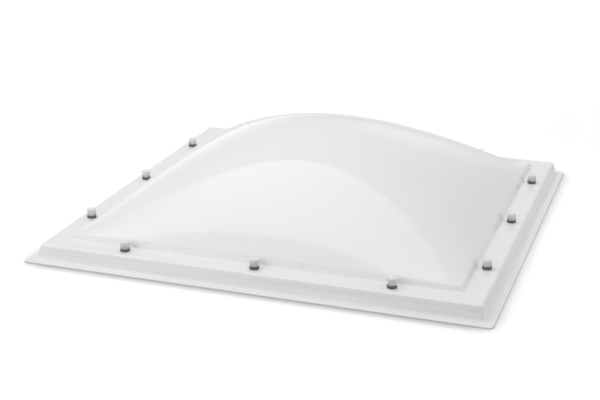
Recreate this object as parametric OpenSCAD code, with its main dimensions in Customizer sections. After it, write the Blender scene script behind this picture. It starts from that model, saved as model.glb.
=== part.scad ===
// Square roof skylight: one blown sheet of opal acrylic with a dome on a low step, a flat
// fixing flange, a skirt turned down outside the roof kerb and an outward lip. Screws hold
// the flange down on a foam seal, each through a rubber ring and under a snap cap.
// The origin is in the middle of the plan, on the plane of the lip's underside, +Z up.

/* [Dome sheet] */
// Width of the square plan over the lip
overall_w = 1200; // [1100:10:1600]
// Thickness of the acrylic sheet
sheet_t = 4; // [3:0.5:5]
// Width of the lip outside the skirt's foot
lip_w = 19.5; // [15:0.5:26]
// Height of the flange's upper face
flange_z = 41; // [36:1:60]
// How far the skirt leans out on its way down
skirt_lean = 12; // [3:1:16]
// Width of the flange from the skirt to the step
flange_w = 57.5; // [56:0.5:90]
// Height of the step that carries the dome
step_h = 14.5; // [13:0.5:24]
// How far the step's wall leans in on its way up
step_lean = 6; // [1:1:7]
// Radius of the corners of the plan
corner_r = 12; // [8:1:26]

/* [Dome] */
// Rise of the blown dome above the step
dome_rise = 209; // [121:2:261]
// How much fuller than a plain bubble the dome is towards its sides
side_fullness = 0.12; // [0:0.02:0.2]
// How much fuller than a plain bubble the dome is towards its corners
corner_fullness = 1.05; // [0:0.05:1.2]

/* [Bends of the sheet] */
// Radius of the bend from the lip up into the skirt
lip_bend_r = 6; // [2:0.5:8]
// Radius of the bend from the skirt over to the flange
shoulder_r = 8; // [6:0.5:12]
// Radius of the bend from the flange up into the step
step_foot_r = 5; // [2:0.5:7]
// Radius of the bend from the step over to the dome
step_top_r = 6; // [5.5:0.5:8]

/* [Fixings] */
// Distance from the lip's edge to a row of screws
fixing_inset = 64; // [60:1:65]
// Spacing of the three screws along a side
fixing_pitch = 346; // [200:2:400]
// Diameter of the holes in the sheet, wide enough for it to grow and shrink
hole_d = 12; // [11:0.5:14]
// Diameter of the rubber rings
ring_d = 24; // [22:0.5:30]
// Height of the rubber rings above the flange
ring_h = 8; // [4:0.5:12]
// Diameter of the snap caps
cap_d = 23; // [22:0.2:26]
// Height of the snap caps
cap_h = 18; // [13:0.5:20]
// Diameter of the screws over the thread
screw_d = 6.3; // [5:0.1:8]
// Width of the screws' hexagon heads across the flats
screw_af = 8; // [7:0.5:10]

/* [Foam seal] */
// Width of the foam strips
seal_w = 40; // [20:1:40]
// Thickness of the foam strips
seal_t = 5; // [3:0.5:8]

/* [Hidden] */

// Corners of the sheet's section where its straight runs would meet, half of the plan each
lip_edge = overall_w / 2;
skirt_foot = lip_edge - lip_w;
skirt_top = skirt_foot - skirt_lean;
step_foot = skirt_top - flange_w;
step_top = step_foot - step_lean;
step_z = flange_z + step_h;

// The weather side of the sheet, from the lip's edge to the middle: half width, height, bend radius
weather_side = [
    [lip_edge, sheet_t, 0],
    [skirt_foot, sheet_t, lip_bend_r],
    [skirt_top, flange_z, shoulder_r],
    [step_foot, flange_z, step_foot_r],
    [step_top, step_z, step_top_r],
    [0, step_z, 0]
];

// Facets of the sheet: straight sides, plan corners, bends and the dome
side_steps = 14;
corner_steps = 4;
bend_steps = 4;
dome_steps = 13;
// Share of its half width that a ring's corner radius has near the top of the dome
crown_roundness = 0.5;

// Fixings, from the flange upwards
fixing_row = lip_edge - fixing_inset;
under_flange = flange_z - sheet_t;
ring_bore_d = 5.6;
ring_edge_r = 1;
spigot_d = hole_d - 1;
spigot_h = sheet_t - 0.5;
ring_top = flange_z + ring_h;
base_d = cap_d - 2.8;
base_h = 4;
base_groove_d = base_d - 1.2;
base_groove_h = 1.4;
base_bore_d = 5.4;
cap_wall = 1.2;
cap_top_t = 1.6;
cap_edge_r = 1.2;
cap_catch_d = base_d - 0.8;
cap_catch_h = 0.9;

// Screws, which end above the plane that the lip stands on
head_seat = ring_top + base_h;
head_flange_d = 12;
head_flange_h = 1.2;
head_h = 5;
plain_shank_d = 4.8;
seal_under = under_flange - seal_t;
thread_top = seal_under - 1;
point_h = 5;
point_d = 0.8;
screw_end = 4;

// Foam strips, centred on the screws
seal_out = fixing_row + seal_w / 2;
seal_in = fixing_row - seal_w / 2;
seal_hole_d = screw_d + 1.7;

round_fn = 64;

// Unit vector from one point to another, in the first two coordinates
function heading(p, q) =
    let (d = [q[0] - p[0], q[1] - p[1]])
    d / norm(d);

// A vector turned a quarter to the left
function left_of(d) = [-d[1], d[0]];

// Positive where the path turns left from heading d to heading e
function turn(d, e) = d[0] * e[1] - d[1] * e[0];

// A path moved to its left by t, with its bends kept concentric
function moved_path(path, t) = [
    for (i = [0 : len(path) - 1])
        let (
            d = heading(path[max(i, 1) - 1], path[max(i, 1)]),
            e = heading(path[min(i, len(path) - 2)], path[min(i, len(path) - 2) + 1]),
            shift = (left_of(d) + left_of(e)) * t / (1 + d * e)
        )
        [path[i][0] + shift[0], path[i][1] + shift[1], path[i][2] - t * sign(turn(d, e))]
];

// The points of the arc that rounds corner i of a path
function bend(path, i) =
    let (
        corner = [path[i][0], path[i][1]],
        d = heading(path[i - 1], path[i]),
        e = heading(path[i], path[i + 1]),
        angle = acos(d * e),
        r = path[i][2],
        start = corner - d * r * tan(angle / 2),
        side = left_of(d) * sign(turn(d, e))
    )
    [
        for (k = [0 : bend_steps])
            let (a = angle * k / bend_steps)
            start + r * (d * sin(a) + side * (1 - cos(a)))
    ];

// A path with its inner corners rounded where they have a radius
function rounded(path) = [
    for (i = [0 : len(path) - 1])
        for (p = path[i][2] > 0 ? bend(path, i) : [[path[i][0], path[i][1]]])
            p
];

// The bubble that air pressure blows from a sheet held along a square of this half width
function bubble(x, y, half) =
    let (
        u = pow(min(1, abs(x) / half), 2),
        v = pow(min(1, abs(y) / half), 2)
    )
    dome_rise * (1 - u) * (1 - v) * (1 + side_fullness * (u + v) + corner_fullness * u * v);

// A square with rounded corners as a closed ring of points, counterclockwise from above
function plan_ring(half, r) = [
    for (side = [0 : 3])
        let (straight = half - r)
        for (p = concat(
            [for (k = [0 : side_steps - 1]) [half, straight * (2 * k / side_steps - 1)]],
            [
                for (k = [0 : corner_steps - 1])
                    [straight, straight] + r * [cos(90 * k / corner_steps), sin(90 * k / corner_steps)]
            ]
        ))
            [p[0] * cos(90 * side) - p[1] * sin(90 * side), p[0] * sin(90 * side) + p[1] * cos(90 * side)]
];

// The rings over the dome, from the end of the rim's section towards the middle
function dome_rings(last, r) = [
    for (k = [1 : dome_steps - 1])
        let (
            inwards = k / dome_steps,
            half = last[0] * (1 - inwards),
            edge_roundness = r / last[0]
        )
        [half, last[1], half * (edge_roundness + (crown_roundness - edge_roundness) * inwards)]
];

// One side of the sheet as rings of points, from its edge to the dome, blown up to its bubble
function skin(path, r) =
    let (
        section = [for (p = rounded(path)) if (p[0] > 0) p],
        rim = [for (i = [0 : len(section) - 1]) [section[i][0], section[i][1], i == 0 ? corner_r : r]],
        half = path[4][0]
    )
    [
        for (s = concat(rim, dome_rings(section[len(section) - 1], r)))
            [for (p = plan_ring(s[0], s[2])) [p[0], p[1], s[1] + bubble(p[0], p[1], half)]]
    ];

function reversed(list) = [for (i = [len(list) - 1 : -1 : 0]) list[i]];

// The sheet as one closed skin: up the underside's rings to the edge and back over the weather side
module sheet() {
    inner_path = moved_path(weather_side, sheet_t);
    rings = concat(reversed(skin(inner_path, corner_r - sheet_t)), skin(weather_side, corner_r));
    n = 4 * (side_steps + corner_steps);
    under_middle = len(rings) * n;
    top_middle = under_middle + 1;
    last_ring = (len(rings) - 1) * n;
    middles = [[0, 0, step_z - sheet_t + dome_rise], [0, 0, step_z + dome_rise]];
    walls = [
        for (j = [0 : len(rings) - 2])
            for (i = [0 : n - 1])
                let (
                    a = j * n + i,
                    b = j * n + (i + 1) % n
                )
                for (face = [[a, b, b + n], [a, b + n, a + n]])
                    reversed(face)
    ];
    crowns = [
        for (i = [0 : n - 1])
            let (next = (i + 1) % n)
            for (face = [[under_middle, next, i], [top_middle, last_ring + i, last_ring + next]])
                reversed(face)
    ];
    polyhedron(
        points = concat([for (ring = rings) for (p = ring) p], middles),
        faces = concat(walls, crowns),
        convexity = 6
    );
}

// Repeats its children at every screw: three on each of the four sides
module at_fixings(sides = [0 : 3]) {
    for (side = sides)
        rotate(90 * side)
            for (k = [-1 : 1])
                translate([k * fixing_pitch, -fixing_row, 0])
                    children();
}

// A solid of revolution about the screw's axis from a section with rounded corners
module turned(path) {
    rotate_extrude($fn = round_fn)
        polygon(rounded(path));
}

module dome_shell() {
    color("#f3f2ee")
        difference() {
            sheet();
            at_fixings()
                translate([0, 0, under_flange - 1])
                    cylinder(d = hole_d, h = sheet_t + 2, $fn = round_fn);
        }
}

// A ring with a spigot that centres the screw in its wide hole
module sealing_rings() {
    color("#2c2c2d")
        at_fixings()
            translate([0, 0, flange_z])
                turned([
                    [ring_bore_d / 2, -spigot_h, 0],
                    [spigot_d / 2, -spigot_h, 0],
                    [spigot_d / 2, 0, 0],
                    [ring_d / 2, 0, ring_edge_r],
                    [ring_d / 2, ring_h, ring_edge_r],
                    [ring_bore_d / 2, ring_h, 0]
                ]);
}

// A thick washer with a groove round its foot that the cap's catch snaps into
module cap_bases() {
    color("#e4e3df")
        at_fixings()
            translate([0, 0, ring_top])
                turned([
                    [base_bore_d / 2, 0, 0],
                    [base_groove_d / 2, 0, 0],
                    [base_groove_d / 2, base_groove_h, 0],
                    [base_d / 2, base_groove_h, 0],
                    [base_d / 2, base_h, ring_edge_r],
                    [base_bore_d / 2, base_h, 0]
                ]);
}

// A hexagon head on its flange, a plain shank, the threaded length and its point
module fixing_screws() {
    color("#b9bcbf")
        at_fixings() {
            translate([0, 0, head_seat])
                cylinder(d = head_flange_d, h = head_flange_h, $fn = round_fn);
            translate([0, 0, head_seat + head_flange_h])
                cylinder(d = screw_af / cos(30), h = head_h, $fn = 6);
            translate([0, 0, thread_top])
                cylinder(d = plain_shank_d, h = head_seat - thread_top, $fn = round_fn);
            translate([0, 0, screw_end + point_h])
                cylinder(d = screw_d, h = thread_top - screw_end - point_h, $fn = round_fn);
            translate([0, 0, screw_end])
                cylinder(d1 = point_d, d2 = screw_d, h = point_h, $fn = round_fn);
        }
}

// A hollow cap with a catch round the inside of its mouth
module screw_caps() {
    color("#efeeeb")
        at_fixings()
            translate([0, 0, ring_top])
                turned([
                    [0, cap_h - cap_top_t, 0],
                    [cap_d / 2 - cap_wall, cap_h - cap_top_t, 0],
                    [cap_d / 2 - cap_wall, cap_catch_h, 0],
                    [cap_catch_d / 2, cap_catch_h, 0],
                    [cap_catch_d / 2, 0, 0],
                    [cap_d / 2, 0, 0],
                    [cap_d / 2, cap_h, cap_edge_r],
                    [0, cap_h, 0]
                ]);
}

// One foam strip along a side, pierced for its three screws
module seal_strip(side, length) {
    color("#3b3b3c")
        difference() {
            rotate(90 * side)
                translate([-length / 2, -seal_out, seal_under])
                    cube([length, seal_w, seal_t]);
            at_fixings([side])
                translate([0, 0, seal_under - 1])
                    cylinder(d = seal_hole_d, h = seal_t + 2, $fn = round_fn);
        }
}

module seal_strip_front() { seal_strip(0, 2 * seal_out); }

module seal_strip_right() { seal_strip(1, 2 * seal_in); }

module seal_strip_back() { seal_strip(2, 2 * seal_out); }

module seal_strip_left() { seal_strip(3, 2 * seal_in); }

dome_shell();
sealing_rings();
cap_bases();
fixing_screws();
screw_caps();
seal_strip_front();
seal_strip_back();
seal_strip_left();
seal_strip_right();
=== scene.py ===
import math

import bmesh
import bpy
from mathutils import Matrix, Vector


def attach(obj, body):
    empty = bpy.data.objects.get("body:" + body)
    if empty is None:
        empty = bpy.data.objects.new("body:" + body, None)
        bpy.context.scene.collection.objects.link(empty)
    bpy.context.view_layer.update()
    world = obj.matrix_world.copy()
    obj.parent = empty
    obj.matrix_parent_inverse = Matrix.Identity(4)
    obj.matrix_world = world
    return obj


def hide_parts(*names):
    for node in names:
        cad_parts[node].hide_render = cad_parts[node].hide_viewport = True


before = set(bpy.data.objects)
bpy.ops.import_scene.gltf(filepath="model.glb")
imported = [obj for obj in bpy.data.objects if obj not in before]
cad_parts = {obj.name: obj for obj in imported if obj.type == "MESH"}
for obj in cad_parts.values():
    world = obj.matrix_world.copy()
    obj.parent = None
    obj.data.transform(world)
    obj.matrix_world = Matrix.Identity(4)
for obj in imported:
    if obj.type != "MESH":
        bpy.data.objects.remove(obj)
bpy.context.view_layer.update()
scene = bpy.context.scene
scene.view_settings.view_transform = "Standard"

# Camera
# The view is from the front, a little to the right and above, with a long lens.
# Place, turn and lens were measured on the photograph's straight edges and screw rows.
photo_width = 600
focal_pixels = 1295.1
camera_place = Vector((1.0220, -3.2697, 1.2530))
camera_turn = math.radians(18.335)
camera_dip = math.radians(19.521)
camera_roll = math.radians(0.493)

forward = Vector((
    -math.sin(camera_turn) * math.cos(camera_dip),
    math.cos(camera_turn) * math.cos(camera_dip),
    -math.sin(camera_dip),
))
level = Vector((math.cos(camera_turn), math.sin(camera_turn), 0))
upright = level.cross(forward)
right = level * math.cos(camera_roll) + upright * math.sin(camera_roll)
up = upright * math.cos(camera_roll) - level * math.sin(camera_roll)

camera_data = bpy.data.cameras.new("camera")
camera_data.sensor_width = 36
camera_data.lens = focal_pixels / photo_width * camera_data.sensor_width
camera = bpy.data.objects.new("camera", camera_data)
camera_axes = Matrix((right, up, -forward)).transposed().to_4x4()
camera.matrix_world = Matrix.Translation(camera_place) @ camera_axes
scene.collection.objects.link(camera)
scene.camera = camera

# Fixing places
# Screws hold the sheet down in four rows of three, one row along each side of the square.
# Everything on a screw is drawn once, on the Z axis, and then set on every screw by one tree.
fixing_row = 0.536
fixing_pitch = 0.346
flange_top = 0.041
merge_distance = 0.00001
sharp_angle = math.radians(40)


def add(tree, kind, inputs=(), **settings):
    """Adds a node with its settings, and its inputs as values or as sockets to link from."""
    made = tree.nodes.new(kind)
    for name, value in settings.items():
        setattr(made, name, value)
    for key, value in dict(inputs).items():
        if isinstance(value, bpy.types.NodeSocket):
            tree.links.new(value, made.inputs[key])
        else:
            made.inputs[key].default_value = value
    return made


def new_tree(name, sizes):
    """Starts a geometry tree that changes a mesh and has a named input for each size."""
    tree = bpy.data.node_groups.new(name, "GeometryNodeTree")
    tree.interface.new_socket("Geometry", in_out="INPUT", socket_type="NodeSocketGeometry")
    for size, kind in sizes.items():
        tree.interface.new_socket(size, in_out="INPUT", socket_type="NodeSocket" + kind)
    tree.interface.new_socket("Geometry", in_out="OUTPUT", socket_type="NodeSocketGeometry")
    return tree, tree.nodes.new("NodeGroupInput").outputs


def apply_tree(piece, tree, sizes):
    """Puts a geometry tree on a piece, with its sizes set by the names of its inputs."""
    modifier = piece.modifiers.new(tree.name, "NODES")
    modifier.node_group = tree
    for socket in tree.interface.items_tree:
        if socket.in_out == "INPUT" and socket.name in sizes:
            modifier[socket.identifier] = sizes[socket.name]


def plain_mesh(piece):
    """Turns a piece's modifiers into a plain mesh at the origin."""
    graph = bpy.context.evaluated_depsgraph_get()
    mesh = bpy.data.meshes.new_from_object(piece.evaluated_get(graph))
    for slot in reversed(range(len(mesh.materials))):
        if mesh.materials[slot] is None:
            mesh.materials.pop(index=slot)
    piece.modifiers.clear()
    piece.data = mesh
    mesh.name = piece.name
    return piece


on_screws, size = new_tree("on every screw", {"Row": "Float", "Pitch": "Float", "Finish": "Material"})
row_start = add(on_screws, "ShaderNodeCombineXYZ", {
    "X": add(on_screws, "ShaderNodeMath", {0: size["Pitch"], 1: -1.0}, operation="MULTIPLY").outputs[0],
    "Y": add(on_screws, "ShaderNodeMath", {0: size["Row"], 1: -1.0}, operation="MULTIPLY").outputs[0],
})
row_step = add(on_screws, "ShaderNodeCombineXYZ", {"X": size["Pitch"]})
row_of_three = add(on_screws, "GeometryNodeMeshLine", {
    "Count": 3, "Start Location": row_start.outputs[0], "Offset": row_step.outputs[0],
})
four_sides = add(on_screws, "GeometryNodeMeshLine", {"Count": 4, "Offset": (0, 0, 0)})
side_number = add(on_screws, "GeometryNodeInputIndex")
quarter_turn = add(on_screws, "ShaderNodeMath", {
    0: side_number.outputs[0], 1: math.pi / 2,
}, operation="MULTIPLY")
side_turn = add(on_screws, "ShaderNodeCombineXYZ", {"Z": quarter_turn.outputs[0]})
rows = add(on_screws, "GeometryNodeInstanceOnPoints", {
    "Points": four_sides.outputs[0], "Instance": row_of_three.outputs[0],
    "Rotation": side_turn.outputs[0],
})
screw_points = add(on_screws, "GeometryNodeRealizeInstances", {0: rows.outputs[0]})
any_turn = add(on_screws, "FunctionNodeRandomValue", {
    "Max": (0, 0, math.tau), "Seed": 7,
}, data_type="FLOAT_VECTOR")
fixings = add(on_screws, "GeometryNodeInstanceOnPoints", {
    "Points": screw_points.outputs[0], "Instance": size["Geometry"], "Rotation": any_turn.outputs[0],
})
fixings_whole = add(on_screws, "GeometryNodeRealizeInstances", {0: fixings.outputs[0]})
fixings_finished = add(on_screws, "GeometryNodeSetMaterial", {
    "Geometry": fixings_whole.outputs[0], "Material": size["Finish"],
})
add(on_screws, "NodeGroupOutput", {0: fixings_finished.outputs[0]})


def drawn_section(name, corners):
    """A piece's section as a line of corners: distance from the middle, height and bend radius."""
    mesh = bpy.data.meshes.new(name)
    points = [(r, 0, z) for r, z, bend in corners]
    lines = [(i, i + 1) for i in range(len(corners) - 1)]
    mesh.from_pydata(points, lines, [])
    bends = mesh.attributes.new("bend", "FLOAT", "POINT")
    for i, (r, z, bend) in enumerate(corners):
        bends.data[i].value = bend
    piece = bpy.data.objects.new(name, mesh)
    scene.collection.objects.link(piece)
    return piece


def bent_section(tree, size):
    """The drawn section as a curve with its corners rounded to their bend radii."""
    line = add(tree, "GeometryNodeMeshToCurve", {"Mesh": size["Geometry"]})
    bend = add(tree, "GeometryNodeInputNamedAttribute", {"Name": "bend"}, data_type="FLOAT")
    return add(tree, "GeometryNodeFilletCurve", {
        "Curve": line.outputs[0], "Count": size["Bend steps"], "Radius": bend.outputs[0],
    }, mode="POLY").outputs[0]


def grid_around(tree, section, around):
    """A grid with a row for each point of a section, the point of each vertex, and its step around."""
    points = add(tree, "GeometryNodeAttributeDomainSize", {"Geometry": section}, component="CURVE")
    columns = add(tree, "FunctionNodeIntegerMath", {0: around, 1: 1}, operation="ADD").outputs[0]
    grid = add(tree, "GeometryNodeMeshGrid", {"Vertices X": points.outputs[0], "Vertices Y": columns})
    index = add(tree, "GeometryNodeInputIndex").outputs[0]
    row = add(tree, "FunctionNodeIntegerMath", {0: index, 1: columns}, operation="DIVIDE")
    column = add(tree, "FunctionNodeIntegerMath", {0: index, 1: columns}, operation="MODULO")
    step = add(tree, "FunctionNodeIntegerMath", {0: column.outputs[0], 1: around}, operation="MODULO")
    place = add(tree, "GeometryNodeInputPosition")
    point = add(tree, "GeometryNodeSampleIndex", {
        "Geometry": section, "Value": place.outputs[0], "Index": row.outputs[0],
    }, data_type="FLOAT_VECTOR")
    return grid.outputs[0], point.outputs[0], step.outputs[0]


turned, size = new_tree("turned on its axis", {"Steps": "Int", "Bend steps": "Int"})
turned_grid, turned_point, turned_step = grid_around(turned, bent_section(turned, size), size["Steps"])
full_turn = add(turned, "ShaderNodeMath", {0: turned_step, 1: math.tau}, operation="MULTIPLY")
step_angle = add(turned, "ShaderNodeMath", {
    0: full_turn.outputs[0], 1: size["Steps"],
}, operation="DIVIDE")
turned_place = add(turned, "ShaderNodeVectorRotate", {
    "Vector": turned_point, "Angle": step_angle.outputs[0],
}, rotation_type="Z_AXIS")
turned_wall = add(turned, "GeometryNodeSetPosition", {
    "Geometry": turned_grid, "Position": turned_place.outputs[0],
})
turned_outwards = add(turned, "GeometryNodeFlipFaces", {0: turned_wall.outputs[0]})
turned_closed = add(turned, "GeometryNodeMergeByDistance", {
    "Geometry": turned_outwards.outputs[0], "Distance": merge_distance,
})
turned_smooth = add(turned, "GeometryNodeSetShadeSmooth", {"Geometry": turned_closed.outputs[0]})
add(turned, "NodeGroupOutput", {0: turned_smooth.outputs[0]})


def turned_fixings(name, corners, finish, steps=48, bend_steps=4):
    """A turned piece, drawn as its section, set on every screw."""
    piece = drawn_section(name, corners)
    apply_tree(piece, turned, {"Steps": steps, "Bend steps": bend_steps})
    apply_tree(piece, on_screws, {"Row": fixing_row, "Pitch": fixing_pitch, "Finish": finish})
    plain_mesh(piece)
    piece.data.set_sharp_from_angle(angle=sharp_angle)
    return piece


# Dome sheet
# One sheet of opal white acrylic, heated and blown free through a square frame into a dome.
# The frame left the step, the flat flange, the skirt outside the kerb and the outward lip.
sheet_thickness = 0.004
lip_edge = 0.600
skirt_foot = 0.5805
skirt_top = 0.5685
step_foot = 0.511
step_top = 0.505
step_height = 0.0555
dome_rise = 0.209
side_fullness = 0.12
corner_fullness = 1.05
corner_radius = 0.012
lip_bend = 0.006
shoulder_bend = 0.008
step_foot_bend = 0.005
step_top_bend = 0.006
hole_radius = 0.006
drill_below = 0.006
drill_above = 0.002
edge_round = 0.0028


def linear(hex_colour, alpha=1.0):
    """An sRGB hex colour as linear values."""
    parts = [int(hex_colour[i:i + 2], 16) / 255 for i in (1, 3, 5)]
    return [p / 12.92 if p <= 0.04045 else ((p + 0.055) / 1.055) ** 2.4 for p in parts] + [alpha]


# Opal acrylic is white right through, under a gloss. The free-blown dome is smooth. The rim, drawn
# over a frame, has faint ripples and draw lines along its folds and streaks of density on the skirt,
# and the flange is set down a little before the skirt.
acrylic = bpy.data.materials.new("opal acrylic, blown")
acrylic.use_nodes = True
shade = acrylic.node_tree
ripple_length = 0.045
ripple_depth = 0.000004
draw_line_width = 0.006
draw_line_depth = 0.00006
set_down_start = 0.543
set_down_end = 0.553
set_down_depth = 0.0007
streak_width = 0.010
streak_length = 0.5
rim_fade = 0.03
skirt_fade = 0.008
place = add(shade, "ShaderNodeTexCoord").outputs["Object"]
height = add(shade, "ShaderNodeSeparateXYZ", {0: place}).outputs["Z"]
on_rim = add(shade, "ShaderNodeMapRange", {
    "Value": height, "From Min": step_height, "From Max": step_height + rim_fade,
    "To Min": 1.0, "To Max": 0.0,
})
ripple = add(shade, "ShaderNodeTexNoise", {"Vector": place, "Scale": 1 / ripple_length, "Detail": 2.0})
rim_ripple = add(shade, "ShaderNodeMath", {
    0: ripple.outputs[0], 1: on_rim.outputs[0],
}, operation="MULTIPLY")
ripple_bump = add(shade, "ShaderNodeBump", {
    "Height": rim_ripple.outputs[0], "Distance": ripple_depth, "Strength": 1.0,
})
sides = add(shade, "ShaderNodeVectorMath", {0: place}, operation="ABSOLUTE")
sideways = add(shade, "ShaderNodeSeparateXYZ", {0: sides.outputs[0]}).outputs
outwards = add(shade, "ShaderNodeMath", {
    0: sideways["X"], 1: sideways["Y"],
}, operation="MAXIMUM").outputs[0]
along_sheet = add(shade, "ShaderNodeMath", {0: outwards, 1: height}, operation="SUBTRACT")
draw_lines = add(shade, "ShaderNodeTexNoise", {
    "W": along_sheet.outputs[0], "Scale": 1 / draw_line_width, "Detail": 2.0,
}, noise_dimensions="1D")
rim_lines = add(shade, "ShaderNodeMath", {
    0: draw_lines.outputs[0], 1: on_rim.outputs[0],
}, operation="MULTIPLY")
line_bump = add(shade, "ShaderNodeBump", {
    "Height": rim_lines.outputs[0], "Distance": draw_line_depth, "Strength": 1.0,
    "Normal": ripple_bump.outputs[0],
})
set_down = add(shade, "ShaderNodeMapRange", {
    "Value": outwards, "From Min": set_down_start, "From Max": set_down_end,
    "To Min": 1.0, "To Max": 0.0,
}, interpolation_type="SMOOTHSTEP")
rim_bump = add(shade, "ShaderNodeBump", {
    "Height": set_down.outputs[0], "Distance": set_down_depth, "Strength": 1.0,
    "Normal": line_bump.outputs[0],
})
across_streaks = add(shade, "ShaderNodeMath", {
    0: along_sheet.outputs[0], 1: streak_width,
}, operation="DIVIDE")
along_side = add(shade, "ShaderNodeVectorMath", {
    0: place, 1: (1 / streak_length, 1 / streak_length, 0),
}, operation="DOT_PRODUCT")
streak_place = add(shade, "ShaderNodeCombineXYZ", {
    "X": across_streaks.outputs[0], "Y": along_side.outputs["Value"],
})
streaks = add(shade, "ShaderNodeTexNoise", {
    "Vector": streak_place.outputs[0], "Scale": 1.0, "Detail": 1.0,
}, noise_dimensions="2D")
on_skirt = add(shade, "ShaderNodeMapRange", {
    "Value": height, "From Min": flange_top - skirt_fade, "From Max": flange_top,
    "To Min": 1.0, "To Max": 0.0,
})
skirt_streaks = add(shade, "ShaderNodeMix", {
    "Factor": on_skirt.outputs[0], "A": 0.5, "B": streaks.outputs[0],
})
sheet_colour = add(shade, "ShaderNodeMix", {
    "Factor": skirt_streaks.outputs["Result"], "A": linear("#e6e6e7"), "B": linear("#f6f6f7"),
}, data_type="RGBA")
acrylic_shader = shade.nodes["Principled BSDF"]
acrylic_shader.inputs["Roughness"].default_value = 0.06
acrylic_shader.inputs["IOR"].default_value = 1.49
shade.links.new(sheet_colour.outputs["Result"], acrylic_shader.inputs["Base Color"])
shade.links.new(rim_bump.outputs[0], acrylic_shader.inputs["Normal"])

blown, size = new_tree("blown sheet", {
    "Bend steps": "Int", "Corner steps": "Int", "Side cuts": "Int", "Dome cuts": "Int",
    "Corner radius": "Float", "Dome half width": "Float", "Dome rise": "Float",
    "Side fullness": "Float", "Corner fullness": "Float", "Finish": "Material",
})
bends = bent_section(blown, size)
bend_points = add(blown, "GeometryNodeAttributeDomainSize", {"Geometry": bends}, component="CURVE")
dome_start = add(blown, "FunctionNodeIntegerMath", {
    0: bend_points.outputs[0], 1: 2,
}, operation="SUBTRACT")
point_number = add(blown, "GeometryNodeInputIndex").outputs[0]
in_dome = add(blown, "FunctionNodeCompare", {
    "A": point_number, "B": dome_start.outputs[0],
}, data_type="INT", operation="EQUAL")
section_cuts = add(blown, "GeometryNodeSwitch", {
    "Switch": in_dome.outputs[0], "False": 2, "True": size["Dome cuts"],
}, input_type="INT")
section = add(blown, "GeometryNodeSubdivideCurve", {
    "Curve": bends, "Cuts": section_cuts.outputs[0],
}).outputs[0]

# The plan is a square of half width 1 with corners of radius a half, later made smaller
square = add(blown, "GeometryNodeCurvePrimitiveQuadrilateral", {"Width": 2.0, "Height": 2.0})
round_square = add(blown, "GeometryNodeFilletCurve", {
    "Curve": square.outputs[0], "Count": size["Corner steps"], "Radius": 0.5,
}, mode="POLY")
corner_points = add(blown, "FunctionNodeIntegerMath", {0: size["Corner steps"], 1: 1}, operation="ADD")
corner_point = add(blown, "FunctionNodeIntegerMath", {
    0: point_number, 1: corner_points.outputs[0],
}, operation="MODULO")
ends_corner = add(blown, "FunctionNodeCompare", {
    "A": corner_point.outputs[0], "B": size["Corner steps"],
}, data_type="INT", operation="EQUAL")
plan_cuts = add(blown, "GeometryNodeSwitch", {
    "Switch": ends_corner.outputs[0], "False": 0, "True": size["Side cuts"],
}, input_type="INT")
plan = add(blown, "GeometryNodeSubdivideCurve", {
    "Curve": round_square.outputs[0], "Cuts": plan_cuts.outputs[0],
}).outputs[0]
plan_points = add(blown, "GeometryNodeAttributeDomainSize", {"Geometry": plan}, component="CURVE")
sheet_grid, sheet_point, sheet_step = grid_around(blown, section, plan_points.outputs[0])
plan_place = add(blown, "GeometryNodeInputPosition")
plan_point = add(blown, "GeometryNodeSampleIndex", {
    "Geometry": plan, "Value": plan_place.outputs[0], "Index": sheet_step,
}, data_type="FLOAT_VECTOR").outputs[0]

# Each ring of the sheet is the plan at its half width, with its own corner radius
sheet_split = add(blown, "ShaderNodeSeparateXYZ", {0: sheet_point})
half_width = sheet_split.outputs["X"]
inwards = add(blown, "ShaderNodeMath", {
    0: size["Dome half width"], 1: half_width,
}, operation="SUBTRACT")
rounder = add(blown, "ShaderNodeMath", {0: inwards.outputs[0], 1: 0.5}, operation="MULTIPLY")
wide_radius = add(blown, "ShaderNodeMath", {
    0: rounder.outputs[0], 1: size["Corner radius"],
}, operation="MAXIMUM")
half_of_half = add(blown, "ShaderNodeMath", {0: half_width, 1: 0.5}, operation="MULTIPLY")
ring_corner = add(blown, "ShaderNodeMath", {
    0: wide_radius.outputs[0], 1: half_of_half.outputs[0],
}, operation="MINIMUM").outputs[0]
below = add(blown, "ShaderNodeVectorMath", {0: plan_point, 1: (0.5, 0.5, 0.5)}, operation="MINIMUM")
inner = add(blown, "ShaderNodeVectorMath", {
    0: below.outputs[0], 1: (-0.5, -0.5, -0.5),
}, operation="MAXIMUM")
outer = add(blown, "ShaderNodeVectorMath", {0: plan_point, 1: inner.outputs[0]}, operation="SUBTRACT")
straight = add(blown, "ShaderNodeMath", {0: half_width, 1: ring_corner}, operation="SUBTRACT")
straight_twice = add(blown, "ShaderNodeMath", {0: straight.outputs[0], 1: 2.0}, operation="MULTIPLY")
radius_twice = add(blown, "ShaderNodeMath", {0: ring_corner, 1: 2.0}, operation="MULTIPLY")
to_corner = add(blown, "ShaderNodeVectorMath", {
    0: inner.outputs[0], "Scale": straight_twice.outputs[0],
}, operation="SCALE")
round_corner = add(blown, "ShaderNodeVectorMath", {
    0: outer.outputs[0], "Scale": radius_twice.outputs[0],
}, operation="SCALE")
ring_point = add(blown, "ShaderNodeVectorMath", {
    0: to_corner.outputs[0], 1: round_corner.outputs[0],
}, operation="ADD").outputs[0]

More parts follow.
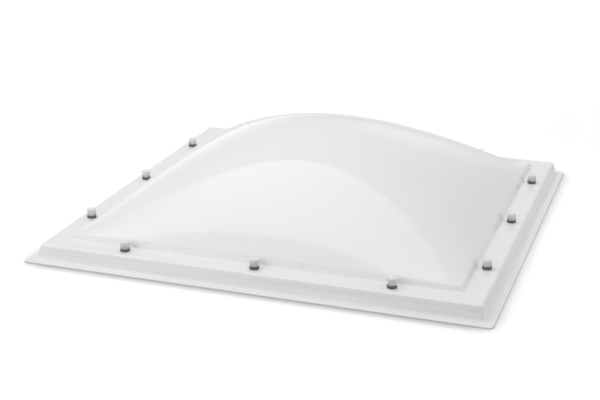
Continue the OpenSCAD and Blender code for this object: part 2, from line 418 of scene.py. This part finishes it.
# The bubble rises as (1 - u)(1 - v)(1 + side fullness (u + v) + corner fullness u v)
inverse_half = add(blown, "ShaderNodeMath", {0: 1.0, 1: size["Dome half width"]}, operation="DIVIDE")
share = add(blown, "ShaderNodeVectorMath", {
    0: ring_point, "Scale": inverse_half.outputs[0],
}, operation="SCALE")
share_size = add(blown, "ShaderNodeVectorMath", {0: share.outputs[0]}, operation="ABSOLUTE")
share_held = add(blown, "ShaderNodeVectorMath", {
    0: share_size.outputs[0], 1: (1, 1, 1),
}, operation="MINIMUM")
squared = add(blown, "ShaderNodeVectorMath", {
    0: share_held.outputs[0], 1: share_held.outputs[0],
}, operation="MULTIPLY")
uv = add(blown, "ShaderNodeSeparateXYZ", {0: squared.outputs[0]}).outputs
u_plus_v = add(blown, "ShaderNodeMath", {0: uv["X"], 1: uv["Y"]}, operation="ADD").outputs[0]
u_times_v = add(blown, "ShaderNodeMath", {0: uv["X"], 1: uv["Y"]}, operation="MULTIPLY").outputs[0]
side_term = add(blown, "ShaderNodeMath", {
    0: u_plus_v, 1: size["Side fullness"], 2: 1.0,
}, operation="MULTIPLY_ADD")
fullness = add(blown, "ShaderNodeMath", {
    0: u_times_v, 1: size["Corner fullness"], 2: side_term.outputs[0],
}, operation="MULTIPLY_ADD")
held_part = add(blown, "ShaderNodeMath", {0: u_times_v, 1: u_plus_v}, operation="SUBTRACT")
held_form = add(blown, "ShaderNodeMath", {0: held_part.outputs[0], 1: 1.0}, operation="ADD")
bubble_form = add(blown, "ShaderNodeMath", {
    0: held_form.outputs[0], 1: fullness.outputs[0],
}, operation="MULTIPLY")
sheet_height = add(blown, "ShaderNodeMath", {
    0: bubble_form.outputs[0], 1: size["Dome rise"], 2: sheet_split.outputs["Z"],
}, operation="MULTIPLY_ADD")
ring_split = add(blown, "ShaderNodeSeparateXYZ", {0: ring_point}).outputs
sheet_place = add(blown, "ShaderNodeCombineXYZ", {
    "X": ring_split["X"], "Y": ring_split["Y"], "Z": sheet_height.outputs[0],
})
sheet_skin = add(blown, "GeometryNodeSetPosition", {
    "Geometry": sheet_grid, "Position": sheet_place.outputs[0],
})
sheet_outwards = add(blown, "GeometryNodeFlipFaces", {0: sheet_skin.outputs[0]})
sheet_closed = add(blown, "GeometryNodeMergeByDistance", {
    "Geometry": sheet_outwards.outputs[0], "Distance": merge_distance,
})
sheet_smooth = add(blown, "GeometryNodeSetShadeSmooth", {"Geometry": sheet_closed.outputs[0]})
sheet_whole = add(blown, "GeometryNodeRealizeInstances", {0: sheet_smooth.outputs[0]})
sheet_finished = add(blown, "GeometryNodeSetMaterial", {
    "Geometry": sheet_whole.outputs[0], "Material": size["Finish"],
})
add(blown, "NodeGroupOutput", {0: sheet_finished.outputs[0]})

dome = drawn_section("dome_sheet", [
    (lip_edge, sheet_thickness, 0),
    (skirt_foot, sheet_thickness, lip_bend),
    (skirt_top, flange_top, shoulder_bend),
    (step_foot, flange_top, step_foot_bend),
    (step_top, step_height, step_top_bend),
    (0, step_height, 0),
])
apply_tree(dome, blown, {
    "Bend steps": 8, "Corner steps": 8, "Side cuts": 40, "Dome cuts": 90,
    "Corner radius": corner_radius, "Dome half width": step_top, "Dome rise": dome_rise,
    "Side fullness": side_fullness, "Corner fullness": corner_fullness, "Finish": acrylic,
})
thickness = dome.modifiers.new("sheet thickness", "SOLIDIFY")
thickness.thickness = sheet_thickness
thickness.offset = -1
thickness.use_even_offset = True
drill = turned_fixings("drill", [
    (0, flange_top - drill_below, 0), (hole_radius, flange_top - drill_below, 0),
    (hole_radius, flange_top + drill_above, 0), (0, flange_top + drill_above, 0),
], acrylic)
holes = dome.modifiers.new("screw holes", "BOOLEAN")
holes.object = drill
holes.solver = "MANIFOLD"
plain_mesh(dome)
bpy.data.objects.remove(drill)


def on_lip_edge(vertex):
    """True for a vertex on the upper edge all round the lip."""
    outside = max(abs(vertex.co.x), abs(vertex.co.y)) > lip_edge - corner_radius
    return outside and abs(vertex.co.z - sheet_thickness) < merge_distance


sheet = bmesh.new()
sheet.from_mesh(dome.data)
top_edge = [
    edge for edge in sheet.edges
    if all(on_lip_edge(v) for v in edge.verts) and edge.calc_face_angle(0) > sharp_angle
]
bmesh.ops.bevel(sheet, geom=top_edge, offset=edge_round, segments=6, profile=0.5, affect="EDGES")
sheet.to_mesh(dome.data)
sheet.free()
dome.data.set_sharp_from_angle(angle=sharp_angle)
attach(dome, "root")
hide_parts("dome_shell")

# Sealing rings
# A collar of moulded EPDM rubber under each screw, with a spigot that fills the screw hole.
# The screw squeezes it on to the flange, so its side bulges a little.
ring_radius = 0.0120
ring_bulge = 0.0003
ring_height = 0.008
spigot_radius = 0.0055
spigot_depth = 0.0035
ring_bore = 0.0028
ring_edge = 0.0008
bulge_round = 0.003
spigot_edge = 0.0004
ring_top = flange_top + ring_height

# EPDM is carbon black rubber, dull, with a faint grain from the mould
rubber = bpy.data.materials.new("EPDM rubber, moulded")
rubber.use_nodes = True
shade = rubber.node_tree
grain_size = 0.0006
grain_depth = 0.00006
bloom_size = 0.006
place = add(shade, "ShaderNodeTexCoord").outputs["Object"]
grain = add(shade, "ShaderNodeTexNoise", {"Vector": place, "Scale": 1 / grain_size, "Detail": 3.0})
bloom = add(shade, "ShaderNodeTexNoise", {"Vector": place, "Scale": 1 / bloom_size, "Detail": 2.0})
bloom_colour = add(shade, "ShaderNodeMix", {
    "Factor": bloom.outputs[0], "A": linear("#565658"), "B": linear("#66666a"),
}, data_type="RGBA")
grain_bump = add(shade, "ShaderNodeBump", {
    "Height": grain.outputs[0], "Distance": grain_depth, "Strength": 1.0,
})
rubber_shader = shade.nodes["Principled BSDF"]
rubber_shader.inputs["Roughness"].default_value = 0.62
rubber_shader.inputs["IOR"].default_value = 1.52
shade.links.new(bloom_colour.outputs["Result"], rubber_shader.inputs["Base Color"])
shade.links.new(grain_bump.outputs[0], rubber_shader.inputs["Normal"])

rings = turned_fixings("sealing_collars", [
    (ring_bore, flange_top - spigot_depth, 0),
    (spigot_radius, flange_top - spigot_depth, spigot_edge),
    (spigot_radius, flange_top, 0),
    (ring_radius - ring_bulge, flange_top, ring_edge),
    (ring_radius + ring_bulge, flange_top + ring_height / 2, bulge_round),
    (ring_radius - ring_bulge, ring_top, ring_edge),
    (ring_bore, ring_top, 0),
    (ring_bore, flange_top - spigot_depth, 0),
], rubber)
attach(rings, "root")
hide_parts("sealing_rings")

# Screw caps
# A white cap moulded in polyethylene snaps over a base washer under the screw's head.
# Its top is slightly crowned and its edge well rounded, as a cap that is pressed on by thumb.
cap_radius = 0.0115
cap_height = 0.018
cap_wall = 0.0012
cap_top_wall = 0.0016
catch_radius = 0.0097
catch_height = 0.0009
cap_crown = 0.0006
crown_start = 0.6
crown_round = 0.012
cap_edge = 0.0018
cap_inside_edge = 0.0008
catch_edge = 0.0003
cap_top = ring_top + cap_height

# Moulded polyethylene is milky white with a smooth skin. The thick top is almost opaque, and the
# thin wall lets the dark ring and the screw inside show faintly towards its foot.
cap_plastic = bpy.data.materials.new("white polyethylene, moulded")
cap_plastic.use_nodes = True
shade = cap_plastic.node_tree
skin_grain = 0.0008
skin_depth = 0.00002
cloud_size = 0.012
foot_clearness = 0.50
top_clearness = 0.08
place = add(shade, "ShaderNodeTexCoord").outputs["Object"]
skin = add(shade, "ShaderNodeTexNoise", {"Vector": place, "Scale": 1 / skin_grain, "Detail": 2.0})
cloud = add(shade, "ShaderNodeTexNoise", {"Vector": place, "Scale": 1 / cloud_size, "Detail": 2.0})
cap_colour = add(shade, "ShaderNodeMix", {
    "Factor": cloud.outputs[0], "A": linear("#ebebe9"), "B": linear("#f4f4f3"),
}, data_type="RGBA")
cap_sheen = add(shade, "ShaderNodeMapRange", {
    "Value": skin.outputs[0], "To Min": 0.14, "To Max": 0.26,
})
skin_bump = add(shade, "ShaderNodeBump", {
    "Height": skin.outputs[0], "Distance": skin_depth, "Strength": 1.0,
})
up_the_cap = add(shade, "ShaderNodeSeparateXYZ", {0: place})
clearness = add(shade, "ShaderNodeMapRange", {
    "Value": up_the_cap.outputs["Z"], "From Min": ring_top, "From Max": cap_top - cap_top_wall,
    "To Min": foot_clearness, "To Max": top_clearness,
})
cap_shader = shade.nodes["Principled BSDF"]
cap_shader.inputs["IOR"].default_value = 1.51
shade.links.new(cap_colour.outputs["Result"], cap_shader.inputs["Base Color"])
shade.links.new(cap_sheen.outputs[0], cap_shader.inputs["Roughness"])
shade.links.new(clearness.outputs[0], cap_shader.inputs["Transmission Weight"])
shade.links.new(skin_bump.outputs[0], cap_shader.inputs["Normal"])

caps = turned_fixings("snap_caps", [
    (0, cap_top - cap_top_wall, 0),
    (cap_radius - cap_wall, cap_top - cap_top_wall, cap_inside_edge),
    (cap_radius - cap_wall, ring_top + 2 * catch_height, 0),
    (catch_radius, ring_top + catch_height, catch_edge),
    (catch_radius, ring_top, 0),
    (cap_radius, ring_top, catch_edge),
    (cap_radius, cap_top - cap_crown, cap_edge),
    (crown_start * cap_radius, cap_top, crown_round),
    (0, cap_top, 0),
], cap_plastic, bend_steps=6)
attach(caps, "root")
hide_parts("screw_caps")

# Cap bases
# A ring of the same plastic, clamped by the screw's head, that each cap clips on to.
# It is hidden inside its cap, so the CAD solid stays as it is.
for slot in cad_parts["cap_bases"].material_slots:
    slot.material = cap_plastic

# Fixing screws
# Self-tapping stainless steel screws with a hexagon head on a washer flange and a rolled thread.
# The head hides in the cap. The thread stands out under the flange, ready for the kerb's timber.
base_height = 0.004
head_seat = ring_top + base_height
head_flange = 0.0060
head_flange_height = 0.0012
head_height = 0.0050
head_across_flats = 0.0080
shank_radius = 0.0024
thread_crest = 0.00315
thread_top = 0.031
thread_pitch = 0.0018
screw_end = 0.004
point_length = 0.005
point_radius = 0.0004
point_round = 0.002
head_edge = 0.0002
head_flange_edge = 0.0004
thread_run_in = 0.001
thread_taper = 0.3

# Plain stainless steel, drawn and rolled, with fine marks around the shank
stainless = bpy.data.materials.new("stainless steel, rolled")
stainless.use_nodes = True
shade = stainless.node_tree
mark_width = 0.0003
mark_length = 0.025
place = add(shade, "ShaderNodeTexCoord").outputs["Object"]
mark_scale = (1 / mark_length, 1 / mark_length, 1 / mark_width)
along_screw = add(shade, "ShaderNodeMapping", {"Vector": place, "Scale": mark_scale})
marks = add(shade, "ShaderNodeTexNoise", {
    "Vector": along_screw.outputs[0], "Scale": 1.0, "Detail": 3.0,
})
dulling = add(shade, "ShaderNodeMapRange", {"Value": marks.outputs[0], "To Min": 0.22, "To Max": 0.42})
steel_colour = add(shade, "ShaderNodeMix", {
    "Factor": marks.outputs[0], "A": linear("#b4b6b8"), "B": linear("#d0d1d2"),
}, data_type="RGBA")
steel_shader = shade.nodes["Principled BSDF"]
steel_shader.inputs["Metallic"].default_value = 1.0
shade.links.new(steel_colour.outputs["Result"], steel_shader.inputs["Base Color"])
shade.links.new(dulling.outputs[0], steel_shader.inputs["Roughness"])

threaded, size = new_tree("thread and head", {
    "Root": "Float", "Crest": "Float", "Pitch": "Float", "Bottom": "Float", "Top": "Float",
    "Point": "Float", "Head base": "Float", "Head height": "Float", "Head radius": "Float",
})
thread_length = add(threaded, "ShaderNodeMath", {
    0: size["Top"], 1: size["Bottom"],
}, operation="SUBTRACT")
thread_turns = add(threaded, "ShaderNodeMath", {
    0: thread_length.outputs[0], 1: size["Pitch"],
}, operation="DIVIDE")
helix = add(threaded, "GeometryNodeCurveSpiral", {
    "Resolution": 24, "Rotations": thread_turns.outputs[0], "Start Radius": size["Root"],
    "End Radius": size["Root"], "Height": thread_length.outputs[0],
})
helix_place = add(threaded, "GeometryNodeInputPosition").outputs[0]
helix_height = add(threaded, "ShaderNodeSeparateXYZ", {0: helix_place}).outputs["Z"]
to_point = add(threaded, "ShaderNodeMapRange", {
    "Value": helix_height, "From Min": 0.0, "From Max": size["Point"],
    "To Min": thread_taper, "To Max": 1.0,
})
taper = add(threaded, "ShaderNodeCombineXYZ", {
    "X": to_point.outputs[0], "Y": to_point.outputs[0], "Z": 1.0,
})
tapered_place = add(threaded, "ShaderNodeVectorMath", {
    0: helix_place, 1: taper.outputs[0],
}, operation="MULTIPLY")
helix_lift = add(threaded, "ShaderNodeCombineXYZ", {"Z": size["Bottom"]})
tapered_helix = add(threaded, "GeometryNodeSetPosition", {
    "Geometry": helix.outputs[0], "Position": tapered_place.outputs[0], "Offset": helix_lift.outputs[0],
})
ridge_height = add(threaded, "ShaderNodeMath", {
    0: size["Crest"], 1: size["Root"],
}, operation="SUBTRACT")
ridge = add(threaded, "GeometryNodeCurvePrimitiveCircle", {
    "Resolution": 4, "Radius": ridge_height.outputs[0],
})
thread = add(threaded, "GeometryNodeCurveToMesh", {
    "Curve": tapered_helix.outputs[0], "Profile Curve": ridge.outputs[0], "Fill Caps": True,
})
hexagon = add(threaded, "GeometryNodeMeshCylinder", {
    "Vertices": 6, "Radius": size["Head radius"], "Depth": size["Head height"],
})
head_middle = add(threaded, "ShaderNodeMath", {
    0: size["Head height"], 1: 0.5, 2: size["Head base"],
}, operation="MULTIPLY_ADD")
head_lift = add(threaded, "ShaderNodeCombineXYZ", {"Z": head_middle.outputs[0]})
head = add(threaded, "GeometryNodeTransform", {
    "Geometry": hexagon.outputs[0], "Translation": head_lift.outputs[0],
})
whole_screw = add(threaded, "GeometryNodeJoinGeometry")
for part in (head.outputs[0], thread.outputs[0], size["Geometry"]):
    threaded.links.new(part, whole_screw.inputs[0])
add(threaded, "NodeGroupOutput", {0: whole_screw.outputs[0]})

screws = drawn_section("kerb_screws", [
    (0, screw_end, 0),
    (point_radius, screw_end, 0),
    (shank_radius, screw_end + point_length, point_round),
    (shank_radius, head_seat, head_edge),
    (head_flange, head_seat, head_edge),
    (head_flange, head_seat + head_flange_height, head_flange_edge),
    (0, head_seat + head_flange_height, 0),
])
apply_tree(screws, turned, {"Steps": 32, "Bend steps": 3})
apply_tree(screws, threaded, {
    "Root": shank_radius, "Crest": thread_crest, "Pitch": thread_pitch,
    "Bottom": screw_end + thread_run_in, "Top": thread_top, "Point": point_length,
    "Head base": head_seat + head_flange_height,
    "Head height": head_height, "Head radius": head_across_flats / math.sqrt(3),
})
apply_tree(screws, on_screws, {"Row": fixing_row, "Pitch": fixing_pitch, "Finish": stainless})
plain_mesh(screws)
screws.data.set_sharp_from_angle(angle=sharp_angle)
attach(screws, "root")
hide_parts("fixing_screws")

# Foam strips
# Black closed-cell foam, cut in strips from a sheet and glued under the flange before the screws go in.
# They bed the dome on the top of the kerb. Their cut sides show the cells.
seal_width = 0.040
seal_thickness = 0.005
seal_top = flange_top - sheet_thickness
seal_outside = 0.556
seal_hole_radius = 0.004
seal_gap = 0.0002
seal_edge = 0.0006
seal_unevenness = 0.0008
waver_length = 0.03
punch_below = 0.010
punch_above = 0.003

# Closed-cell foam is dull black with a skin of fine cells
foam = bpy.data.materials.new("closed-cell rubber foam, cut")
foam.use_nodes = True
shade = foam.node_tree
cell_size = 0.0012
cell_depth = 0.0003
dust_size = 0.02
place = add(shade, "ShaderNodeTexCoord").outputs["Object"]
cells = add(shade, "ShaderNodeTexVoronoi", {"Vector": place, "Scale": 1 / cell_size})
dust = add(shade, "ShaderNodeTexNoise", {"Vector": place, "Scale": 1 / dust_size, "Detail": 4.0})
foam_colour = add(shade, "ShaderNodeMix", {
    "Factor": dust.outputs[0], "A": linear("#222223"), "B": linear("#3a3a3b"),
}, data_type="RGBA")
cell_bump = add(shade, "ShaderNodeBump", {
    "Height": cells.outputs["Distance"], "Distance": cell_depth, "Strength": 1.0,
})
foam_shader = shade.nodes["Principled BSDF"]
foam_shader.inputs["Roughness"].default_value = 0.9
foam_shader.inputs["IOR"].default_value = 1.4
shade.links.new(foam_colour.outputs["Result"], foam_shader.inputs["Base Color"])
shade.links.new(cell_bump.outputs[0], foam_shader.inputs["Normal"])

cut_strip, size = new_tree("cut strip", {
    "Width": "Float", "Thickness": "Float", "Edge": "Float", "Unevenness": "Float",
    "Finish": "Material",
})
strip_line = add(cut_strip, "GeometryNodeMeshToCurve", {"Mesh": size["Geometry"]})
strip_path = add(cut_strip, "GeometryNodeResampleCurve", {"Curve": strip_line.outputs[0], "Count": 160})
strip_end = add(cut_strip, "GeometryNodeCurvePrimitiveQuadrilateral", {
    "Width": size["Width"], "Height": size["Thickness"],
})
strip_round = add(cut_strip, "GeometryNodeFilletCurve", {
    "Curve": strip_end.outputs[0], "Count": 3, "Radius": size["Edge"],
}, mode="POLY")
strip_form = add(cut_strip, "GeometryNodeSubdivideCurve", {"Curve": strip_round.outputs[0], "Cuts": 3})
strip_bar = add(cut_strip, "GeometryNodeCurveToMesh", {
    "Curve": strip_path.outputs[0], "Profile Curve": strip_form.outputs[0], "Fill Caps": True,
})
waver = add(cut_strip, "ShaderNodeTexNoise", {"Scale": 1 / waver_length, "Detail": 2.0})
waver_middle = add(cut_strip, "ShaderNodeVectorMath", {
    0: waver.outputs["Color"], 1: (0.5, 0.5, 0.5),
}, operation="SUBTRACT")
waver_flat = add(cut_strip, "ShaderNodeVectorMath", {
    0: waver_middle.outputs[0], 1: (1, 1, 0.2),
}, operation="MULTIPLY")
waver_size = add(cut_strip, "ShaderNodeVectorMath", {
    0: waver_flat.outputs[0], "Scale": size["Unevenness"],
}, operation="SCALE")
strip_uneven = add(cut_strip, "GeometryNodeSetPosition", {
    "Geometry": strip_bar.outputs[0], "Offset": waver_size.outputs[0],
})
strip_smooth = add(cut_strip, "GeometryNodeSetShadeSmooth", {"Geometry": strip_uneven.outputs[0]})
strip_whole = add(cut_strip, "GeometryNodeRealizeInstances", {0: strip_smooth.outputs[0]})
strip_finished = add(cut_strip, "GeometryNodeSetMaterial", {
    "Geometry": strip_whole.outputs[0], "Material": size["Finish"],
})
add(cut_strip, "NodeGroupOutput", {0: strip_finished.outputs[0]})

seal_middle = seal_outside - seal_width / 2
seal_inside = seal_outside - seal_width
seal_level = seal_top - seal_thickness / 2
strip_ends = {
    "front": ((-seal_outside, -seal_middle), (seal_outside, -seal_middle)),
    "right": ((seal_middle, -seal_inside), (seal_middle, seal_inside)),
    "back": ((seal_outside, seal_middle), (-seal_outside, seal_middle)),
    "left": ((-seal_middle, seal_inside), (-seal_middle, -seal_inside)),
}
punch = turned_fixings("punch", [
    (0, seal_top - punch_below, 0), (seal_hole_radius, seal_top - punch_below, 0),
    (seal_hole_radius, seal_top + punch_above, 0), (0, seal_top + punch_above, 0),
], foam, steps=24)
for side, ends in strip_ends.items():
    strip_mesh = bpy.data.meshes.new("foam_strip_" + side)
    strip_mesh.from_pydata([(x, y, seal_level) for x, y in ends], [(0, 1)], [])
    strip = bpy.data.objects.new("foam_strip_" + side, strip_mesh)
    scene.collection.objects.link(strip)
    apply_tree(strip, cut_strip, {
        "Width": seal_width - 2 * seal_gap, "Thickness": seal_thickness - seal_gap,
        "Edge": seal_edge, "Unevenness": seal_unevenness, "Finish": foam,
    })
    punched = strip.modifiers.new("screw holes", "BOOLEAN")
    punched.object = punch
    punched.solver = "MANIFOLD"
    plain_mesh(strip)
    strip.data.set_sharp_from_angle(angle=sharp_angle)
    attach(strip, "root")
    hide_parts("seal_strip_" + side)
bpy.data.objects.remove(punch)

# Floor
# A roll of white paper runs under the dome and on behind it, out of the picture. It glows faintly, more
# so further off, for the camera and in reflections, so that it is white and still keeps the shadow.
# The light that it throws on the dome is held down, and a contact shade darkens it at the lip.
paper_grey = 0.30
paper_mirrored = 0.80
paper_glow = 0.14
mirrored_glow = 0.48
far_glow = 0.48
glow_start = 0.9
glow_end = 3.2
contact_reach = 0.055
contact_depth = 1.8
contact_lean = math.radians(40)
floor_reach = 30.0
floor_material = bpy.data.materials.new("white studio paper")
floor_material.use_nodes = True
shade = floor_material.node_tree
rays = add(shade, "ShaderNodeLightPath").outputs
mirrored = add(shade, "ShaderNodeMath", {
    0: rays["Is Glossy Ray"], 1: rays["Is Transmission Ray"],
}, operation="MAXIMUM").outputs[0]

# The contact shade looks up and towards the back, so it is darkest in front of the lip
lean_back = add(shade, "ShaderNodeCombineXYZ", {
    "Y": math.sin(contact_lean), "Z": math.cos(contact_lean),
})
openness = add(shade, "ShaderNodeAmbientOcclusion", {
    "Distance": contact_reach, "Normal": lean_back.outputs[0],
}, samples=16)
contact = add(shade, "ShaderNodeMath", {
    0: openness.outputs["AO"], 1: contact_depth,
}, operation="POWER").outputs[0]
unseen_paper = add(shade, "ShaderNodeMix", {
    "Factor": mirrored, "A": paper_grey, "B": paper_mirrored,
})
paper_colour = add(shade, "ShaderNodeMix", {
    "Factor": rays["Is Camera Ray"], "A": unseen_paper.outputs["Result"], "B": contact,
})
place = add(shade, "ShaderNodeTexCoord").outputs["Object"]
away = add(shade, "ShaderNodeVectorMath", {0: place}, operation="LENGTH")
glow_level = add(shade, "ShaderNodeMapRange", {
    "Value": away.outputs["Value"], "From Min": glow_start, "From Max": glow_end,
    "To Min": paper_glow, "To Max": far_glow,
}, interpolation_type="SMOOTHSTEP")
glow_mirrored = add(shade, "ShaderNodeMath", {0: mirrored, 1: mirrored_glow}, operation="MULTIPLY")
glow_seen = add(shade, "ShaderNodeMix", {
    "Factor": rays["Is Camera Ray"], "A": glow_mirrored.outputs[0], "B": contact,
})
glow = add(shade, "ShaderNodeMath", {
    0: glow_seen.outputs["Result"], 1: glow_level.outputs[0],
}, operation="MULTIPLY")
floor_shader = shade.nodes["Principled BSDF"]
floor_shader.inputs["Roughness"].default_value = 0.9
floor_shader.inputs["IOR"].default_value = 1.2
floor_shader.inputs["Emission Color"].default_value = (1, 1, 1, 1)
shade.links.new(paper_colour.outputs["Result"], floor_shader.inputs["Base Color"])
shade.links.new(glow.outputs[0], floor_shader.inputs["Emission Strength"])
floor_mesh = bpy.data.meshes.new("floor")
floor_mesh.from_pydata([
    (-floor_reach, -floor_reach, 0), (floor_reach, -floor_reach, 0),
    (floor_reach, floor_reach, 0), (-floor_reach, floor_reach, 0),
], [], [(0, 1, 2, 3)])
floor_mesh.materials.append(floor_material)
floor = bpy.data.objects.new("floor", floor_mesh)
scene.collection.objects.link(floor)

# Studio light
# A long softbox hangs over the dome and fades towards both ends. Soft panels stand in front on
# the left, on the right and low down behind, and the room is pale grey with four soft lights.


def panel(name, place, aim, wide, high):
    """A flat lamp turned towards a place. Its Emission strength is its radiance, where 1 is white."""
    data = bpy.data.lights.new(name, "AREA")
    data.shape = "RECTANGLE"
    data.size = wide
    data.size_y = high
    data.energy = math.pi * wide * high
    data.use_nodes = True
    lamp = bpy.data.objects.new(name, data)
    lamp.location = place
    lamp.rotation_euler = (Vector(aim) - Vector(place)).to_track_quat("-Z", "Y").to_euler()
    scene.collection.objects.link(lamp)
    return data


def spot_on(lamp):
    """Where light leaves a lamp, from 0 to 1 over its width and over its height."""
    geometry = add(lamp.node_tree, "ShaderNodeNewGeometry")
    return add(lamp.node_tree, "ShaderNodeSeparateXYZ", {0: geometry.outputs["Parametric"]}).outputs


def soften(lamp, radiance, soft):
    """Lets a lamp fade out towards its edges, over a share of its width and of its height."""
    shade = lamp.node_tree
    spot = spot_on(lamp)
    level = radiance
    for way, share in zip("XY", soft):
        from_end = add(shade, "ShaderNodeMath", {0: spot[way], 1: 0.5}, operation="PINGPONG")
        fade = add(shade, "ShaderNodeMapRange", {
            "Value": from_end.outputs[0], "From Max": share, "To Max": level,
        }, interpolation_type="SMOOTHSTEP")
        level = fade.outputs[0]
    shade.links.new(level, shade.nodes["Emission"].inputs["Strength"])


# Along its length the softbox is dim at the left end, full in the middle and dim at the right end
softbox_level = 1.30
left_level = 0.30
right_level = 0.42
softbox = panel("softbox", place=(-0.8, 0.06, 2.0), aim=(-0.8, 0.06, 0), wide=3.6, high=1.70)
shade = softbox.node_tree
along = spot_on(softbox)["X"]
left_end = add(shade, "ShaderNodeMapRange", {
    "Value": along, "From Min": 0.15, "From Max": 0.45, "To Min": left_level, "To Max": softbox_level,
}, interpolation_type="SMOOTHSTEP")
right_end = add(shade, "ShaderNodeMapRange", {
    "Value": along, "From Min": 0.55, "From Max": 1.0, "To Min": softbox_level, "To Max": right_level,
})
ends = add(shade, "ShaderNodeMath", {
    0: left_end.outputs[0], 1: right_end.outputs[0],
}, operation="MINIMUM")
shade.links.new(ends.outputs[0], shade.nodes["Emission"].inputs["Strength"])

front_panel = panel("front panel", place=(-1.7, -2.6, 1.1), aim=(0, 0, 0.1), wide=4.4, high=2.2)
front_panel.color = linear("#fff5ea")[:3]
soften(front_panel, radiance=1.55, soft=(0.4, 0.4))
right_panel = panel("right panel", place=(2.2, 0.0, 0.50), aim=(0, 0, 0.1), wide=1.4, high=0.9)
soften(right_panel, radiance=2.30, soft=(0.3, 0.3))
back_panel = panel("back panel", place=(-2.7, 2.9, 0.0), aim=(0, 0, 0), wide=4.6, high=3.8)
soften(back_panel, radiance=0.52, soft=(0.35, 0.5))

# Each light of the room is a direction, how narrow it is, and its strength
room_level = 0.515
room_lights = [
    ((-0.05, 1.0, 0.22), 40, 0.48),
    ((-0.34, 0, 0.94), 15, 0.67),
    ((-0.6, -1.0, 0.35), 4, 0.26),
    ((1.0, 0.1, 0.3), 4, 0.22),
]
world = bpy.data.worlds.new("studio room")
world.use_nodes = True
room = world.node_tree
towards = add(room, "ShaderNodeTexCoord").outputs["Generated"]
room_light = room_level
for aim, sharpness, strength in room_lights:
    facing = add(room, "ShaderNodeVectorMath", {
        0: towards, 1: Vector(aim).normalized(),
    }, operation="DOT_PRODUCT")
    ahead = add(room, "ShaderNodeMath", {0: facing.outputs["Value"], 1: 0.0}, operation="MAXIMUM")
    spread = add(room, "ShaderNodeMath", {0: ahead.outputs[0], 1: sharpness}, operation="POWER")
    room_light = add(room, "ShaderNodeMath", {
        0: spread.outputs[0], 1: strength, 2: room_light,
    }, operation="MULTIPLY_ADD").outputs[0]
room.nodes["Background"].inputs["Color"].default_value = (1, 1, 1, 1)
room.links.new(room_light, room.nodes["Background"].inputs["Strength"])
scene.world = world
